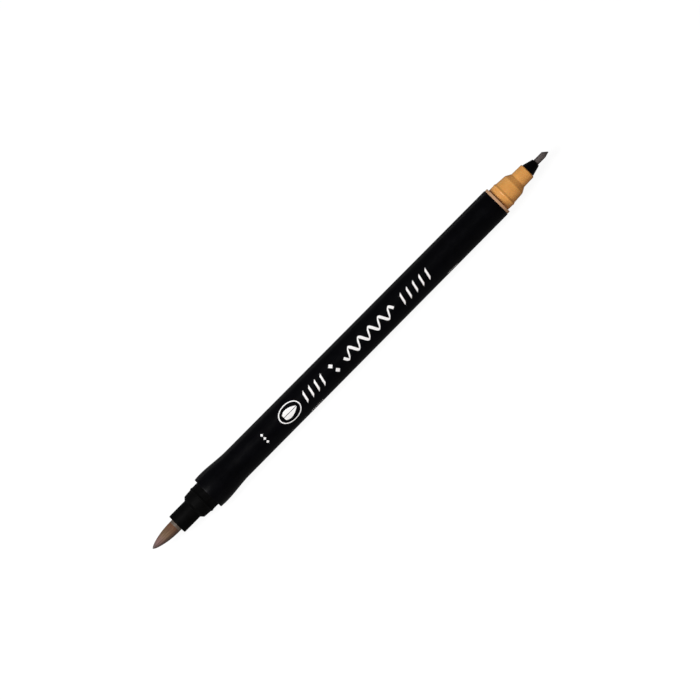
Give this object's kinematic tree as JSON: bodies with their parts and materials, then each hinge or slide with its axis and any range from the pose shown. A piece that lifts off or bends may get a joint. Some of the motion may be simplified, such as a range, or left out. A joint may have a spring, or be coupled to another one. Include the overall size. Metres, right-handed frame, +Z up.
{
  "type": "calligraphy marker",
  "caption": "Slim uncapped marker with a soft bending brush nib at one end of its barrel and a hard chisel nib at the other.",
  "frame": {"origin": "on the marker's long axis, half-way between the brush tip and the chisel edge", "axes": "+X runs along the marker towards the chisel nib, -X towards the brush. The printed side of the barrel faces 55 degrees up from -Y, and +Z is up with the marker lying down."},
  "size_m": [0.178, 0.0122, 0.0122],
  "materials": {
    "barrel_black": "satin black, printed in white",
    "ring_pale": "satin",
    "section_orange": "semi-gloss",
    "cone_black": "satin",
    "nib_fibre": "pressed fibre, ink-stained",
    "section_black": "satin",
    "ferrule_grey": "satin",
    "brush_fibre": "fine lengthwise fibres, ink-stained",
    "reservoir_fibre": "ink-soaked fibre bundle",
    "wrap_film": "thin film",
    "breather_plastic": "smooth"
  },
  "bodies": {
    "marker_body": {"barrel": "barrel_black", "barrel_end_ring": "ring_pale", "fine_section": "section_orange", "nib_cone": "cone_black", "fine_nib": "nib_fibre", "brush_section": "section_black", "brush_ferrule": "ferrule_grey", "brush_root": "brush_fibre", "ink_reservoir": "reservoir_fibre", "reservoir_wrap": "wrap_film", "breather_tube": "breather_plastic"},
    "brush_belly": {"brush_belly": "brush_fibre"},
    "brush_point": {"brush_point": "brush_fibre"}
  },
  "joints": [
    {"name": "brush_bend", "type": "hinge", "parent": "marker_body", "child": "brush_belly", "pos_m": [-0.0808, 0, 0], "axis": [0, -0.5736, 0.8192], "range_deg": [-25, 25], "stiffness_Nm_per_rad": 0.00005},
    {"name": "brush_curl", "type": "hinge", "parent": "brush_belly", "child": "brush_point", "pos_m": [-0.0844, 0, 0], "axis": [0, -0.5736, 0.8192], "range_deg": [-25, 25], "stiffness_Nm_per_rad": 0.000005}
  ],
  "couplings": [
    {"joint": "brush_curl", "follows": "brush_bend", "ratio": 1}
  ]
}
